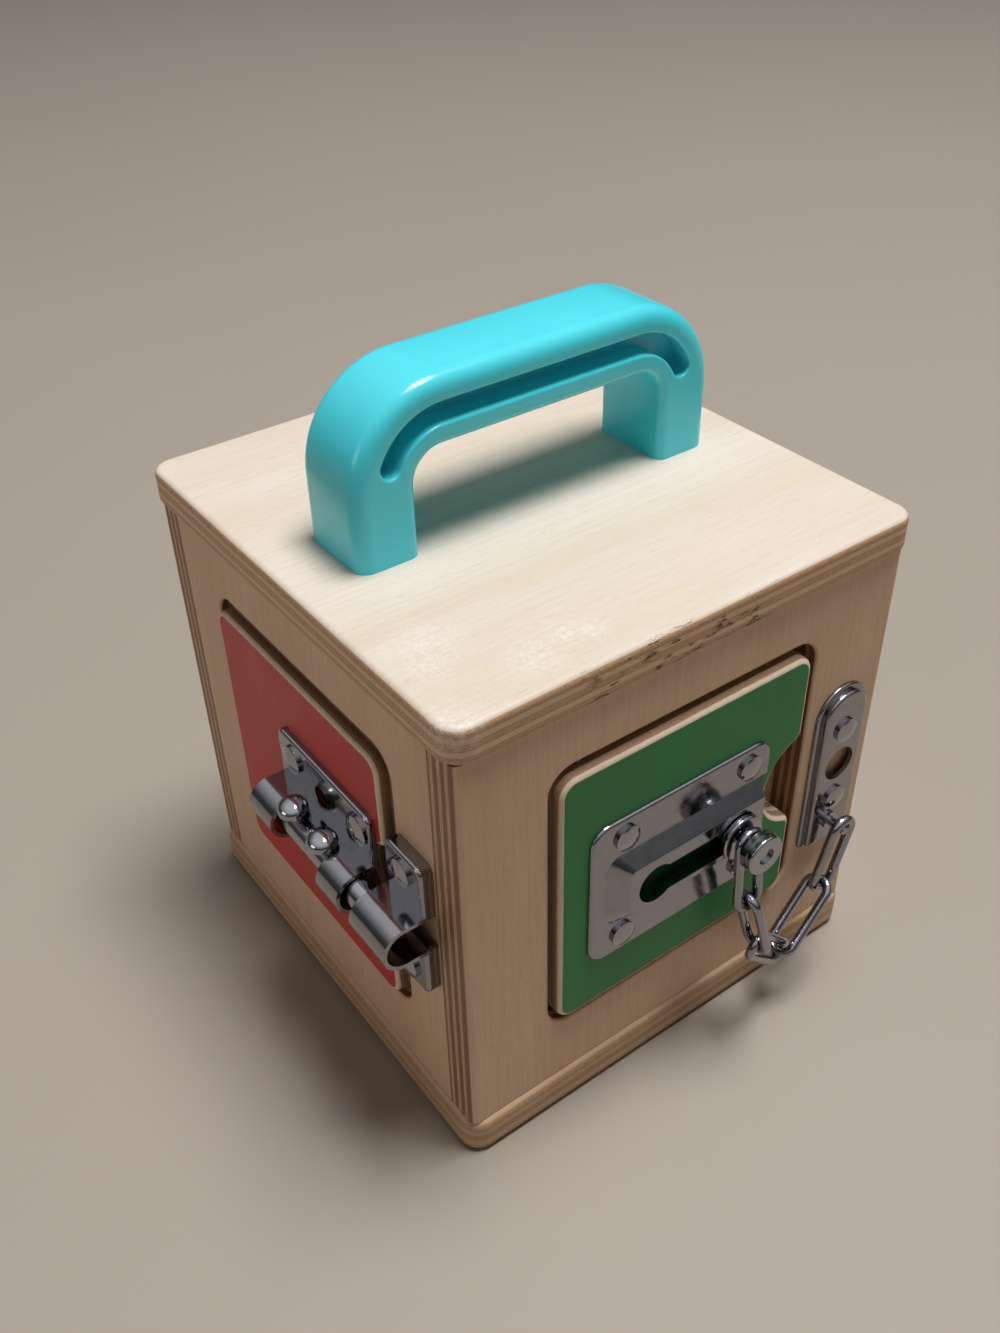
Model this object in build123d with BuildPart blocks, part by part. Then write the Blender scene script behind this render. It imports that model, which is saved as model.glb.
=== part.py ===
from build123d import *
import math
import os

os.makedirs("parts", exist_ok=True)

# Box of plywood; its width, depth and height follow from the doorways and the posts around them
wall_thick = 10.0
top_thick = 10.0
base_thick = 12.0
overhang = 1.5
plate_corner = 6.0
top_round = 1.8
base_round = 2.8
wall_round = 1.8
front_left_post = 24.5
front_right_post = 27.5
left_rear_post = 28.2
left_front_post = 26.6
sill_high = 20.4
head_high = 15.4
opening_corner = 7.0
opening_round = 1.0

# Doors, the same size on both walls, hung with a little more or less gap
door_wide = 79.2
door_high = 80.8
door_thick = 10.0
door_play = 4.8
sill_gap = 3.2
head_gap = 2.2
door_proud = 2.1
door_corner = 5.0
door_round = 1.6
front_hinge_gap = 1.3
left_hinge_gap = 2.6
notch_radius = 14.0
notch_out = 2.8
notch_up = 40.4
notch_soft = 3.0

# Hinge pins, hidden in the thickness of door and wall
pin_radius = 1.2
pin_in_door = 12.0
pin_in_wall = 8.0
pin_inset = 8.0
pin_depth = 2.5
running_gap = 0.05

# Stops behind the free edges of the doors
stop_wide = 8.0
stop_deep = 6.0
stop_high = 40.0
stop_lap = 3.0
seat_gap = 0.2

# Handle
handle_half = 53.6
handle_high = 43.0
handle_thick = 17.0
handle_leg = 16.6
handle_wide = 24.6
handle_outer_bend = 25.0
handle_inner_bend = 8.0
handle_outer_round = 4.0
handle_inner_round = 2.5
groove_wide = 8.5
groove_deep = 6.5
groove_inset = 10.25
groove_sweep = 76.0

# Screws
screw_head = 3.6
screw_dome = 1.7
screw_rim = 0.8
screw_shank = 1.5
screw_long = 7.5
bolt_screw_head = 4.0
big_screw_shank = 2.0
big_screw_long = 22.0

# Pressed sheet of the fittings
sheet = 1.1
press_inset = 0.4
press_round = 0.9
plate_soft = 5.5

# Track of the door chain, placed from the door's free edge and foot
track_inset = 12.5
track_long = 58.0
track_up = 38.8
track_half = 22.6
channel_inset = 4.0
channel_foot_start = 4.3
channel_foot_half = 11.2
channel_foot_corner = 4.5
channel_top_start = 9.7
channel_top_half = 7.15
channel_top_corner = 2.0
channel_rise = 3.3
slot_drop = 1.2
slot_half = 4.25
slot_short = 11.9
keyhole_start = 18.2
keyhole_radius = 5.7
track_screw_first = 10.5
track_screw_last = 7.5
track_screw_half = 16.5

# Stud: a spool with a hidden head behind the track
stud_short = 0.4
stud_head_radius = 5.2
stud_head_front = 2.95
stud_head_thick = 2.2
stud_neck_radius = 3.8
disc_radius = 6.6
disc_back = 4.75
disc_thick = 1.6
spool_radius = 1.7
spool_wide = 4.2
end_disc_radius = 5.7
end_disc_thick = 3.65
ring_wide = 0.7
ring_deep = 0.5
stud_soft = 0.6
dimple_radius = 2.4
dimple_deep = 0.8

# Chain of five equal links, each with its own slope across the wall and lean out from it
link_wire = 1.35
link_half_wide = 3.55
link_span = 24.2
link_play = 0.3
pin_play = 0.5
link_slopes = (-91.0, -74.0, -48.0, 42.0, 77.0)
link_leans = (5.0, 1.0, -9.0, -5.0, 2.0)

# Anchor plate and its pin on the wall beside the door, placed from the doorway and the slot
anchor_aside = 3.6
anchor_wide = 18.4
anchor_high = 54.7
anchor_below = 29.9
anchor_flange = 1.1
anchor_step = 1.6
anchor_front = 2.8
anchor_top_round = 9.0
anchor_soft = 2.2
anchor_press = 0.7
anchor_screw_low = 12.6
anchor_screw_high = 11.4
anchor_hole_drop = 0.6
anchor_hole_radius = 5.2
anchor_pin_radius = 1.3
anchor_pin_out = 9.5
anchor_pin_foot_radius = 2.6
anchor_pin_foot = 0.9
anchor_pin_soft = 0.6

# Barrel bolt on the left door, placed from the door's free edge and foot
bolt_inset = 3.2
bolt_long = 43.9
bolt_up = 41.2
bolt_half = 20.8
bolt_front = 2.0
bolt_corner = 2.5
barrel_radius = 6.0
barrel_out = 6.6
first_collar = 11.4
second_collar = 9.6
window_out = 5.9
bolt_screw_first = 7.6
bolt_screw_second = 39.4
bolt_screw_half = 14.8
bolt_hole_at = 20.9
bolt_hole_half = 11.7
bolt_hole_radius = 2.9
rod_gap = 0.08
rod_tail = 1.0
rod_soft = 0.7
bolt_travel = 2.5
knob_stem = 1.3
knob_radius = 4.0
knob_foot_out = 6.7
knob_rim = 0.9
knob_high = 3.4
knob_angle = 82.0
knob_first = 15.7
knob_gap = 0.2

# Keeper on the wall beside the left door, placed from the doorway
keeper_aside = 0.9
keeper_wide = 15.1
keeper_half = 21.0
keeper_front = 3.7
keeper_radius = 6.2
keeper_screw_half = 15.6
keeper_mouth_gap = 0.3

# Edges are found by the heights of these points along them
edge_shares = (0.0, 0.5, 1.0)
flat_limit = 0.001

# Anything cut right through runs on by this much
overrun = 1.0

# Places that follow from the sizes
opening_wide = door_wide + door_play
opening_high = door_high + sill_gap + head_gap
opening_sill = base_thick + sill_high
opening_head = opening_sill + opening_high
wall_head = opening_head + head_high
box_top = wall_head + top_thick
box_wide = front_left_post + opening_wide + front_right_post
box_deep = left_rear_post + opening_wide + left_front_post
front_plane = Plane(origin=(0, -box_deep / 2, 0), x_dir=(1, 0, 0), z_dir=(0, -1, 0))
left_plane = Plane(origin=(-box_wide / 2, 0, 0), x_dir=(0, -1, 0), z_dir=(-1, 0, 0))
front_opening_left = front_left_post - box_wide / 2
left_opening_left = left_rear_post - box_deep / 2
front_door_left = front_opening_left + front_hinge_gap
left_door_left = left_opening_left + left_hinge_gap
door_foot = opening_sill + sill_gap
door_head = door_foot + door_high

track_right = front_door_left + door_wide - track_inset
track_left = track_right - track_long
track_middle = door_foot + track_up
channel_mouth = track_right - channel_inset
slot_height = track_middle - slot_drop
slot_end = track_right - slot_short
keyhole_at = track_left + keyhole_start
stud_rest = slot_end - stud_short

anchor_left = front_opening_left + opening_wide + anchor_aside
anchor_right = anchor_left + anchor_wide
anchor_middle = (anchor_left + anchor_right) / 2
anchor_foot = slot_height - anchor_below
anchor_head = anchor_foot + anchor_high

bolt_right = left_door_left + door_wide - bolt_inset
bolt_left = bolt_right - bolt_long
bolt_height = door_foot + bolt_up
collar_end = bolt_left + first_collar
window_end = bolt_right - second_collar
keeper_left = left_opening_left + opening_wide + keeper_aside
keeper_right = keeper_left + keeper_wide
keeper_middle = (keeper_left + keeper_right) / 2
keeper_out = door_proud + barrel_out


def patch(plane, left, right, bottom, top, corner):
    """A round-cornered rectangle on a plane."""
    with BuildSketch(plane) as shape:
        with Locations(((left + right) / 2, (bottom + top) / 2)):
            RectangleRounded(right - left, top - bottom, corner)
    return shape.sketch


def block(plane, left, right, bottom, top):
    """A sharp rectangle on a plane."""
    with BuildSketch(plane) as shape:
        with Locations(((left + right) / 2, (bottom + top) / 2)):
            Rectangle(right - left, top - bottom)
    return shape.sketch


def spots(plane, points):
    """Places on a plane, turned so that local Z points out of it."""
    return [plane.location * Location((across, up, 0)) for across, up in points]


def bore(plane, points, radius, deep):
    """Round holes from a plane inwards, cut from the part being made."""
    with Locations(*spots(plane, points)):
        Cylinder(radius, deep, align=(Align.CENTER, Align.CENTER, Align.MAX), mode=Mode.SUBTRACT)


def headed_pin(head, dome, rim, shank, long):
    """A domed head seated on the plane z = 0, with its shank pointing down."""
    with BuildPart() as pin:
        with BuildSketch(Plane.XZ) as half:
            with BuildLine():
                Line((0, -long), (shank, -long))
                Line((shank, -long), (shank, 0))
                Line((shank, 0), (head, 0))
                Line((head, 0), (head, rim))
                TangentArc((0, dome), (head, rim), tangent=(1, 0))
                Line((0, dome), (0, -long))
            make_face()
        revolve(half.sketch, axis=Axis.Z)
    return pin.part


def face_edges(builder, plane, out):
    """All edges of the part that lie in the plane this far out."""
    level = plane.offset(out)
    found = []
    for edge in builder.edges():
        heights = [level.to_local_coords(edge @ share).Z for share in edge_shares]
        if max(abs(height) for height in heights) < flat_limit:
            found.append(edge)
    return found


small_screw = headed_pin(screw_head, screw_dome, screw_rim, screw_shank, screw_long)
bolt_screw = headed_pin(bolt_screw_head, screw_dome, screw_rim, screw_shank, screw_long)
handle_screw = headed_pin(bolt_screw_head, screw_dome, screw_rim, big_screw_shank, big_screw_long)
knob = headed_pin(knob_radius, knob_high, knob_rim, knob_stem, knob_foot_out)

track_spots = [
    (along, track_middle + side * track_screw_half)
    for along in (track_left + track_screw_first, track_right - track_screw_last)
    for side in (-1, 1)
]
anchor_spots = [
    (anchor_middle, slot_height - anchor_screw_low),
    (anchor_middle, slot_height + anchor_screw_high),
]
bolt_spots = [
    (bolt_left + along, bolt_height + side * bolt_screw_half)
    for along in (bolt_screw_first, bolt_screw_second)
    for side in (-1, 1)
]
keeper_spots = [(keeper_middle, bolt_height + side * keeper_screw_half) for side in (-1, 1)]
handle_foot_at = handle_half - handle_leg / 2
handle_spots = [(-handle_foot_at, 0), (handle_foot_at, 0)]


# Base and top plates
with BuildPart() as base_plate:
    with BuildSketch(Plane.XY):
        RectangleRounded(box_wide + 2 * overhang, box_deep + 2 * overhang, plate_corner)
    extrude(amount=base_thick)
    fillet(base_plate.faces().sort_by(Axis.Z)[-1].edges(), base_round)
    fillet(base_plate.faces().sort_by(Axis.Z)[0].edges(), base_round)

with BuildPart() as top_plate:
    with BuildSketch(Plane.XY.offset(wall_head)):
        RectangleRounded(box_wide + 2 * overhang, box_deep + 2 * overhang, plate_corner)
    extrude(amount=top_thick)
    fillet(top_plate.faces().sort_by(Axis.Z)[-1].edges(), top_round)
    fillet(top_plate.faces().sort_by(Axis.Z)[0].edges(), top_round)
    bore(Plane.XY.offset(box_top + overrun), handle_spots,
         big_screw_shank + running_gap, top_thick + 2 * overrun)


def pin_column(plane, door_left, foot, head, radius, mode):
    """An upright cylinder on the line that a door turns about, from foot to head."""
    base = plane.from_local_coords(Vector(door_left + pin_inset, foot, -pin_depth))
    with Locations(Location(base)):
        Cylinder(radius, head - foot, align=(Align.CENTER, Align.CENTER, Align.MIN), mode=mode)


def cut_doorway(builder, plane, left, door_left):
    """Cut the opening for a door through the wall being made, and the bores for its pins."""
    right = left + opening_wide
    hole = patch(plane, left, right, opening_sill, opening_head, opening_corner)
    extrude(hole, amount=-(wall_thick + overrun), mode=Mode.SUBTRACT)
    rim = []
    for edge in face_edges(builder, plane, 0):
        place = plane.to_local_coords(edge @ 0.5)
        across = abs(place.X - (left + right) / 2)
        up = abs(place.Y - (opening_sill + opening_head) / 2)
        if across < opening_wide / 2 + overrun and up < opening_high / 2 + overrun:
            rim.append(edge)
    fillet(rim, opening_round)
    pin_bore = pin_radius + running_gap
    pin_column(plane, door_left, opening_sill - pin_in_wall, opening_sill + overrun, pin_bore, Mode.SUBTRACT)
    pin_column(plane, door_left, opening_head - overrun, opening_head + pin_in_wall, pin_bore, Mode.SUBTRACT)


# Walls: front and back full width, left and right between them
with BuildPart() as front_panel:
    extrude(block(front_plane, -box_wide / 2, box_wide / 2, base_thick, wall_head), amount=-wall_thick)
    fillet(front_panel.edges().filter_by(Axis.Z).sort_by(Axis.Y)[:2], wall_round)
    cut_doorway(front_panel, front_plane, front_opening_left, front_door_left)
    bore(front_plane, anchor_spots, screw_shank + running_gap, screw_long)

back_plane = front_plane.offset(wall_thick - box_deep)
with BuildPart() as back_panel:
    extrude(block(back_plane, -box_wide / 2, box_wide / 2, base_thick, wall_head), amount=-wall_thick)
    fillet(back_panel.edges().filter_by(Axis.Z).sort_by(Axis.Y)[-2:], wall_round)

side_half = box_deep / 2 - wall_thick
with BuildPart() as left_panel:
    extrude(block(left_plane, -side_half, side_half, base_thick, wall_head), amount=-wall_thick)
    cut_doorway(left_panel, left_plane, left_opening_left, left_door_left)
    bore(left_plane, keeper_spots, screw_shank + running_gap, screw_long)

right_plane = left_plane.offset(wall_thick - box_wide)
with BuildPart() as right_panel:
    extrude(block(right_plane, -side_half, side_half, base_thick, wall_head), amount=-wall_thick)


def shape_door(builder, plane, door_left, screw_spots):
    """The door board with its finger notch, rounded front, pin bores and screw bores."""
    right = door_left + door_wide
    front = plane.offset(door_proud)
    with BuildSketch(front) as outline:
        with Locations(((door_left + right) / 2, door_foot + door_high / 2)):
            RectangleRounded(door_wide, door_high, door_corner)
        with Locations((right + notch_out, door_foot + notch_up)):
            Circle(notch_radius, mode=Mode.SUBTRACT)
        mouth = [
            corner
            for corner in outline.vertices()
            if abs(corner.X - right) < flat_limit and abs(corner.Y - door_foot - notch_up) < notch_radius
        ]
        fillet(mouth, notch_soft)
    extrude(outline.sketch, amount=-door_thick)
    fillet(face_edges(builder, front, 0), door_round)
    pin_bore = pin_radius + running_gap
    bore_deep = pin_in_door + seat_gap
    pin_column(plane, door_left, door_foot - overrun, door_foot + bore_deep, pin_bore, Mode.SUBTRACT)
    pin_column(plane, door_left, door_head - bore_deep, door_head + overrun, pin_bore, Mode.SUBTRACT)
    bore(front, screw_spots, screw_shank + running_gap, screw_long)


with BuildPart() as front_door:
    shape_door(front_door, front_plane, front_door_left, track_spots)

with BuildPart() as left_door:
    shape_door(left_door, left_plane, left_door_left, bolt_spots)


def shape_pins(plane, door_left):
    """The lower and upper pin that a door turns on."""
    pin_column(plane, door_left, opening_sill - pin_in_wall, door_foot + pin_in_door, pin_radius, Mode.ADD)
    pin_column(plane, door_left, door_head - pin_in_door, opening_head + pin_in_wall, pin_radius, Mode.ADD)


with BuildPart() as front_door_pins:
    shape_pins(front_plane, front_door_left)

with BuildPart() as left_door_pins:
    shape_pins(left_plane, left_door_left)


def shape_stop(plane, left, door_left):
    """A strip glued inside the wall, with a lip that reaches behind the door's free edge."""
    right = left + opening_wide
    low = door_foot + (door_high - stop_high) / 2
    inner = plane.offset(-wall_thick)
    lip_front = plane.offset(door_proud - door_thick - seat_gap)
    lip_left = door_left + door_wide - stop_lap
    extrude(block(inner, lip_left, right + stop_wide, low, low + stop_high), amount=-stop_deep)
    extrude(block(lip_front, lip_left, right - seat_gap, low, low + stop_high),
            amount=door_proud - door_thick - seat_gap + wall_thick, dir=-plane.z_dir)


with BuildPart() as front_door_stop:
    shape_stop(front_plane, front_opening_left, front_door_left)

with BuildPart() as left_door_stop:
    shape_stop(left_plane, left_opening_left, left_door_left)

# Handle: one moulded arch with a blind groove along each side
with BuildPart() as handle:
    with BuildSketch(Plane.XZ) as arch:
        with Locations((0, box_top + handle_high / 2)):
            Rectangle(2 * handle_half, handle_high)
        fillet(arch.vertices().group_by(Axis.Y)[-1], handle_outer_bend)
        gap_high = handle_high - handle_thick
        with BuildSketch(Plane.XZ, mode=Mode.PRIVATE) as finger_gap:
            with Locations((0, box_top + gap_high / 2)):
                Rectangle(2 * (handle_half - handle_leg), gap_high)
            fillet(finger_gap.vertices().group_by(Axis.Y)[-1], handle_inner_bend)
        add(finger_gap.sketch_local, mode=Mode.SUBTRACT)
    extrude(amount=handle_wide / 2, both=True)
    outer_edges = []
    inner_edges = []
    for edge in handle.edges():
        middle = edge @ 0.5
        if abs(abs(middle.Y) - handle_wide / 2) > flat_limit or abs(middle.Z - box_top) < flat_limit:
            continue
        on_leg = abs(middle.X) > handle_half - handle_leg + flat_limit
        on_top = middle.Z > box_top + gap_high + flat_limit
        if on_leg or on_top:
            outer_edges.append(edge)
        else:
            inner_edges.append(edge)
    fillet(outer_edges, handle_outer_round)
    fillet(inner_edges, handle_inner_round)
    bend_at = handle_half - handle_outer_bend
    bend_height = box_top + handle_high - handle_outer_bend
    groove_bend = handle_outer_bend - groove_inset
    for side in (-1, 1):
        with BuildSketch(Plane.XZ.offset(-side * handle_wide / 2)) as groove:
            with BuildLine(mode=Mode.PRIVATE) as groove_path:
                CenterArc((bend_at, bend_height), groove_bend, 90 - groove_sweep, groove_sweep)
                Line((bend_at, bend_height + groove_bend), (-bend_at, bend_height + groove_bend))
                CenterArc((-bend_at, bend_height), groove_bend, 90, groove_sweep)
            trace(groove_path.line, line_width=groove_wide)
            with Locations(groove_path.line @ 0, groove_path.line @ 1):
                Circle(groove_wide / 2)
        extrude(amount=side * groove_deep, mode=Mode.SUBTRACT)
    with Locations(*spots(Plane.XY.offset(wall_head), handle_spots)):
        Cylinder(big_screw_shank + running_gap, big_screw_long + overrun,
                 align=(Align.CENTER, Align.CENTER, Align.MIN), mode=Mode.SUBTRACT)

with BuildPart() as handle_screws:
    with Locations(*spots(Plane(origin=(0, 0, wall_head), z_dir=(0, 0, -1)), handle_spots)):
        add(handle_screw)


# Track of the door chain: a plate pressed up into a channel, with a keyhole slot
door_face = front_plane.offset(door_proud)
track_foot = track_middle - track_half
track_head = track_middle + track_half
with BuildPart() as track_plate:
    extrude(patch(door_face, track_left, track_right, track_foot, track_head, plate_soft), amount=sheet)
    fillet(face_edges(track_plate, door_face, sheet), press_round)
    foot_low = track_middle - channel_foot_half
    foot_high = track_middle + channel_foot_half
    top_low = track_middle - channel_top_half
    top_high = track_middle + channel_top_half
    foot_left = track_left + channel_foot_start
    top_left = track_left + channel_top_start
    ridge_foot = patch(door_face.offset(sheet - flat_limit), foot_left, track_right + overrun,
                       foot_low, foot_high, channel_foot_corner)
    ridge_top = patch(door_face.offset(sheet + channel_rise), top_left, track_right + overrun,
                      top_low, top_high, channel_top_corner)
    loft(sections=[ridge_foot, ridge_top])
    fillet(face_edges(track_plate, door_face, sheet + channel_rise), press_round)
    hollow_foot = patch(door_face, foot_left + press_inset, track_right + 2 * overrun,
                        foot_low + press_inset, foot_high - press_inset, channel_foot_corner - press_inset)
    hollow_top = patch(door_face.offset(channel_rise), top_left + press_inset, track_right + 2 * overrun,
                       top_low + press_inset, top_high - press_inset, channel_top_corner - press_inset)
    loft(sections=[hollow_foot, hollow_top], mode=Mode.SUBTRACT)
    mouth_cut = block(door_face, channel_mouth, track_right + 2 * overrun, foot_low, foot_high)
    extrude(mouth_cut, amount=sheet + channel_rise + overrun, mode=Mode.SUBTRACT)
    with BuildSketch(door_face.offset(sheet + channel_rise + overrun)) as keyhole:
        with Locations(((keyhole_at + slot_end) / 2, slot_height)):
            SlotCenterToCenter(slot_end - keyhole_at, 2 * slot_half)
        with Locations((keyhole_at, slot_height)):
            Circle(keyhole_radius)
    extrude(keyhole.sketch, amount=-(2 * overrun + sheet), mode=Mode.SUBTRACT)
    bore(door_face.offset(sheet + overrun), track_spots, screw_shank + running_gap, sheet + 2 * overrun)

with BuildPart() as track_screws:
    with Locations(*spots(door_face.offset(sheet), track_spots)):
        add(small_screw)

# Stud: turned spool, its hidden head behind the slot and its groove out in front
head_back = stud_head_front - stud_head_thick
disc_front = disc_back + disc_thick
spool_front = disc_front + spool_wide
stud_front = spool_front + end_disc_thick
ring_back = spool_front + (end_disc_thick - ring_wide) / 2
ring_front = ring_back + ring_wide
stud_base = door_face.from_local_coords(Vector(stud_rest, slot_height, 0))
with BuildPart() as chain_stud:
    with BuildSketch(Plane(origin=stud_base, x_dir=(1, 0, 0), z_dir=(0, 0, 1))) as spool:
        with BuildLine():
            Polyline(
                (0, -head_back),
                (stud_head_radius, -head_back),
                (stud_head_radius, -stud_head_front),
                (stud_neck_radius, -stud_head_front),
                (stud_neck_radius, -disc_back),
                (disc_radius, -disc_back),
                (disc_radius, -disc_front),
                (spool_radius, -disc_front),
                (spool_radius, -spool_front),
                (end_disc_radius, -spool_front),
                (end_disc_radius, -ring_back),
                (end_disc_radius - ring_deep, -ring_back),
                (end_disc_radius - ring_deep, -ring_front),
                (end_disc_radius, -ring_front),
                (end_disc_radius, -stud_front),
                (0, -stud_front),
                close=True,
            )
        make_face()
    revolve(spool.sketch, axis=Axis(stud_base, (0, -1, 0)))
    rims = face_edges(chain_stud, door_face, disc_front) + face_edges(chain_stud, door_face, stud_front)
    fillet([edge for edge in rims if edge.radius > spool_radius + flat_limit], stud_soft)
    bore(door_face.offset(stud_front), [(stud_rest, slot_height)], dimple_radius, dimple_deep)

# Chain: the pivots follow from the stud, the slopes, the leans and the size of one link
stud_hold = spool_radius + link_play + link_wire
link_hold = 2 * link_wire + link_play
pin_hold = anchor_pin_radius + pin_play + link_wire
holds = (
    (stud_hold, link_hold),
    (0, 0),
    (link_hold, link_hold),
    (0, 0),
    (link_hold, pin_hold),
)
pitches = [link_span - start - end for start, end in holds]
pivots = [door_face.from_local_coords(Vector(stud_rest, slot_height, disc_front + spool_wide / 2))]
link_ways = []
for slope, lean, pitch in zip(link_slopes, link_leans, pitches):
    turn = math.radians(slope)
    tilt = math.radians(lean)
    way = Vector(math.cos(turn) * math.cos(tilt), -math.sin(tilt), math.sin(turn) * math.cos(tilt))
    link_ways.append(way)
    pivots.append(pivots[-1] + way * pitch)

chain_links = []
for number, way in enumerate(link_ways):
    start_hold, end_hold = holds[number]
    first_tip = pivots[number] - way * start_hold
    last_tip = pivots[number + 1] + way * end_hold
    across = (Vector(0, 1, 0) - way * way.Y).normalized()
    normal = across if number % 2 == 0 else way.cross(across)
    link_plane = Plane(origin=(first_tip + last_tip) / 2, x_dir=way, z_dir=normal)
    reach = link_span / 2 - link_half_wide
    with BuildPart() as link:
        with BuildLine(link_plane) as loop:
            Line((-reach, link_half_wide), (reach, link_half_wide))
            ThreePointArc((reach, link_half_wide), (reach + link_half_wide, 0), (reach, -link_half_wide))
            Line((reach, -link_half_wide), (-reach, -link_half_wide))
            ThreePointArc((-reach, -link_half_wide), (-reach - link_half_wide, 0), (-reach, link_half_wide))
        with BuildSketch(Plane(origin=loop.line @ 0, z_dir=loop.line % 0)):
            Circle(link_wire)
        sweep(path=loop.line)
    chain_links.append(link)
chain_link_1, chain_link_2, chain_link_3, chain_link_4, chain_link_5 = chain_links[::-1]

# Anchor plate on the wall, and the pin that the last link hangs on
with BuildPart() as anchor_plate:
    with BuildSketch(front_plane) as anchor_outline:
        with Locations((anchor_middle, (anchor_foot + anchor_head) / 2)):
            Rectangle(anchor_wide, anchor_high)
        fillet(anchor_outline.vertices().group_by(Axis.Y)[-1], anchor_top_round)
        fillet(anchor_outline.vertices().group_by(Axis.Y)[0], anchor_soft)
    with BuildSketch(front_plane) as anchor_face:
        add(anchor_outline.sketch_local)
        offset(amount=-anchor_step, mode=Mode.REPLACE)
    with BuildSketch(front_plane) as anchor_hollow:
        add(anchor_outline.sketch_local)
        offset(amount=-anchor_step - sheet, mode=Mode.REPLACE)
    extrude(anchor_outline.sketch, amount=anchor_flange)
    fillet(face_edges(anchor_plate, front_plane, anchor_flange), anchor_press)
    extrude(anchor_face.sketch, amount=anchor_front)
    fillet(face_edges(anchor_plate, front_plane, anchor_front), press_round)
    extrude(anchor_hollow.sketch, amount=anchor_front - sheet, mode=Mode.SUBTRACT)
    anchor_top = front_plane.offset(anchor_front + overrun)
    bore(anchor_top, anchor_spots, screw_shank + running_gap, sheet + 2 * overrun)
    anchor_hole = [(anchor_middle, slot_height - anchor_hole_drop)]
    bore(anchor_top, anchor_hole, anchor_hole_radius, sheet + 2 * overrun)

with BuildPart() as anchor_screws:
    with Locations(*spots(front_plane.offset(anchor_front), anchor_spots)):
        add(small_screw)

pin_place = [(pivots[-1].X, pivots[-1].Z)]
with BuildPart() as anchor_pin:
    upright = (Align.CENTER, Align.CENTER, Align.MIN)
    with Locations(*spots(front_plane.offset(anchor_front), pin_place)):
        Cylinder(anchor_pin_foot_radius, anchor_pin_foot, align=upright)
        Cylinder(anchor_pin_radius, anchor_pin_out - anchor_front, align=upright)
    fillet(face_edges(anchor_pin, front_plane, anchor_pin_out), anchor_pin_soft)


def barrel_profile(plane, left, radius, start, centre):
    """Two straight walls closed by a half round, seen along the bolt."""
    origin = plane.from_local_coords(Vector(left, bolt_height, 0))
    with BuildSketch(Plane(origin=origin, x_dir=plane.z_dir, z_dir=plane.x_dir)) as profile:
        with Locations(((start + centre) / 2, 0)):
            Rectangle(centre - start, 2 * radius)
        with Locations((centre, 0)):
            Circle(radius)
    return profile.sketch


def pressed_cup(builder, plane, left, right, half, front, corner):
    """A plate with its edges turned back to the wood."""
    low = bolt_height - half
    high = bolt_height + half
    extrude(patch(plane, left, right, low, high, corner), amount=front)
    fillet(face_edges(builder, plane, front), press_round)
    inside = patch(plane, left + sheet, right - sheet, low + sheet, high - sheet, corner - sheet)
    extrude(inside, amount=front - sheet, mode=Mode.SUBTRACT)


# Barrel bolt on the left door: pressed plate with two collars, and the rod in them
left_face = left_plane.offset(door_proud)
bolt_holes = [(bolt_left + bolt_hole_at, bolt_height + side * bolt_hole_half) for side in (-1, 1)]
with BuildPart() as bolt_plate:
    pressed_cup(bolt_plate, left_face, bolt_left, bolt_right, bolt_half, bolt_front, bolt_corner)
    barrel = barrel_profile(left_face, bolt_left, barrel_radius, bolt_front - sheet, barrel_out)
    extrude(barrel, amount=bolt_long)
    barrel_bore = barrel_profile(left_face, bolt_left - overrun, barrel_radius - sheet, -overrun, barrel_out)
    extrude(barrel_bore, amount=bolt_long + 2 * overrun, mode=Mode.SUBTRACT)
    window = block(left_face.offset(window_out), collar_end, window_end,
                   bolt_height - barrel_radius - overrun, bolt_height + barrel_radius + overrun)
    extrude(window, amount=barrel_out + barrel_radius, mode=Mode.SUBTRACT)
    bolt_top = left_face.offset(bolt_front + overrun)
    bore(bolt_top, bolt_spots, screw_shank + running_gap, sheet + 2 * overrun)
    bore(bolt_top, bolt_holes, bolt_hole_radius, sheet + 2 * overrun)

with BuildPart() as bolt_screws:
    with Locations(*spots(left_face.offset(bolt_front), bolt_spots)):
        add(bolt_screw)

rod_radius = barrel_radius - sheet - rod_gap
rod_start = bolt_left + rod_tail
rod_end = keeper_left - keeper_mouth_gap
knob_ways = (bolt_left + knob_first, window_end - knob_gap - knob_stem - bolt_travel)
knob_turn = math.radians(knob_angle)
knob_way = Vector(-math.cos(knob_turn), 0, math.sin(knob_turn))
with BuildPart() as bolt_rod:
    rod_base = left_face.from_local_coords(Vector(rod_start, bolt_height, barrel_out))
    with BuildSketch(Plane(origin=rod_base, x_dir=left_plane.z_dir, z_dir=left_plane.x_dir)) as rod_round:
        Circle(rod_radius)
    extrude(rod_round.sketch, amount=rod_end - rod_start)
    fillet(bolt_rod.edges().filter_by(GeomType.CIRCLE), rod_soft)
    for knob_at in knob_ways:
        knob_base = left_face.from_local_coords(Vector(knob_at, bolt_height, barrel_out))
        with Locations(Plane(origin=knob_base + knob_way * knob_foot_out, z_dir=knob_way).location):
            add(knob)

# Keeper on the wall: a smaller plate with one wider arch
with BuildPart() as keeper:
    pressed_cup(keeper, left_plane, keeper_left, keeper_right, keeper_half, keeper_front, bolt_corner)
    keeper_arch = barrel_profile(left_plane, keeper_left, keeper_radius, keeper_front - sheet, keeper_out)
    extrude(keeper_arch, amount=keeper_wide)
    arch_bore = barrel_profile(left_plane, keeper_left - overrun, keeper_radius - sheet, -overrun, keeper_out)
    extrude(arch_bore, amount=keeper_wide + 2 * overrun, mode=Mode.SUBTRACT)
    keeper_top = left_plane.offset(keeper_front + overrun)
    bore(keeper_top, keeper_spots, screw_shank + running_gap, sheet + 2 * overrun)

with BuildPart() as keeper_screws:
    with Locations(*spots(left_plane.offset(keeper_front), keeper_spots)):
        add(small_screw)

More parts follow.
